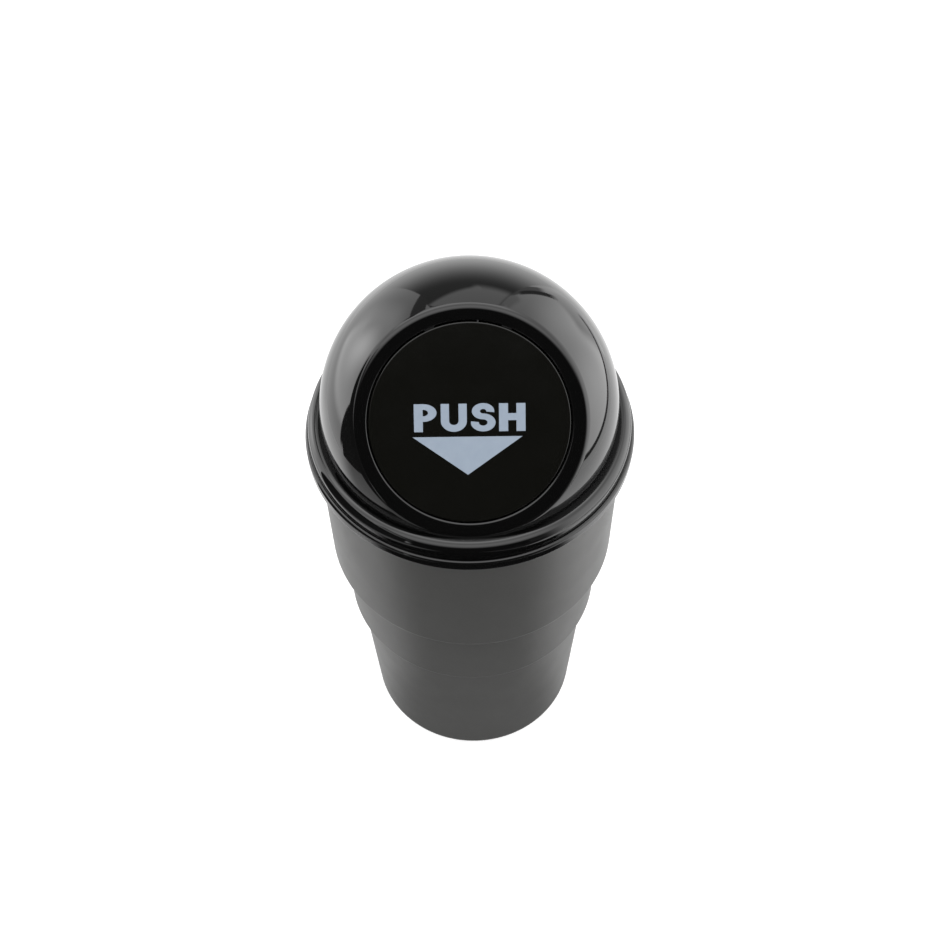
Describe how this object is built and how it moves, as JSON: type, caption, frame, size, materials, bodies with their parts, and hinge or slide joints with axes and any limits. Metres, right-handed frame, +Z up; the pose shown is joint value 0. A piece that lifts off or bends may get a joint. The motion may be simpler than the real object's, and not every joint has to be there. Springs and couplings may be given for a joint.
{
  "type": "car trash bin",
  "caption": "Cup-shaped car trash bin for a cup holder: stepped cup, bag ring and lift-off dome lid with a sprung push flap.",
  "frame": {"origin": "middle of the foot ring, on the surface that the bin stands on", "axes": "+Z up along the cup's axis, -Y towards the push flap, +X to the right of someone facing the flap"},
  "size_m": [0.09, 0.09, 0.1787],
  "materials": {
    "cup_plastic": "satin",
    "ring_gloss": "gloss",
    "dome_gloss": "gloss",
    "flap_satin": "satin",
    "print_ink": "matte",
    "pin_steel": "satin",
    "spring_steel": "satin"
  },
  "bodies": {
    "cup": {"bin_cup": "cup_plastic"},
    "ring": {"bag_ring": "ring_gloss"},
    "lid": {"dome_lid": "dome_gloss", "hinge_pin": "pin_steel", "torsion_spring": "spring_steel"},
    "push_flap": {"flap": "flap_satin"}
  },
  "joints": [
    {"name": "ring_lift", "type": "slide", "parent": "cup", "child": "ring", "axis": [0, 0, 1], "range_m": [0, 0.06]},
    {"name": "lid_lift", "type": "slide", "parent": "ring", "child": "lid", "axis": [0, 0, 1], "range_m": [0, 0.06]},
    {"name": "flap_swing", "type": "hinge", "parent": "lid", "child": "push_flap", "pos_m": [0, -0.00174, 0.16934], "axis": [1, 0, 0], "range_deg": [0, 60], "stiffness_Nm_per_rad": 0.015, "springref_deg": -57.3, "deforming": ["torsion_spring"]}
  ]
}
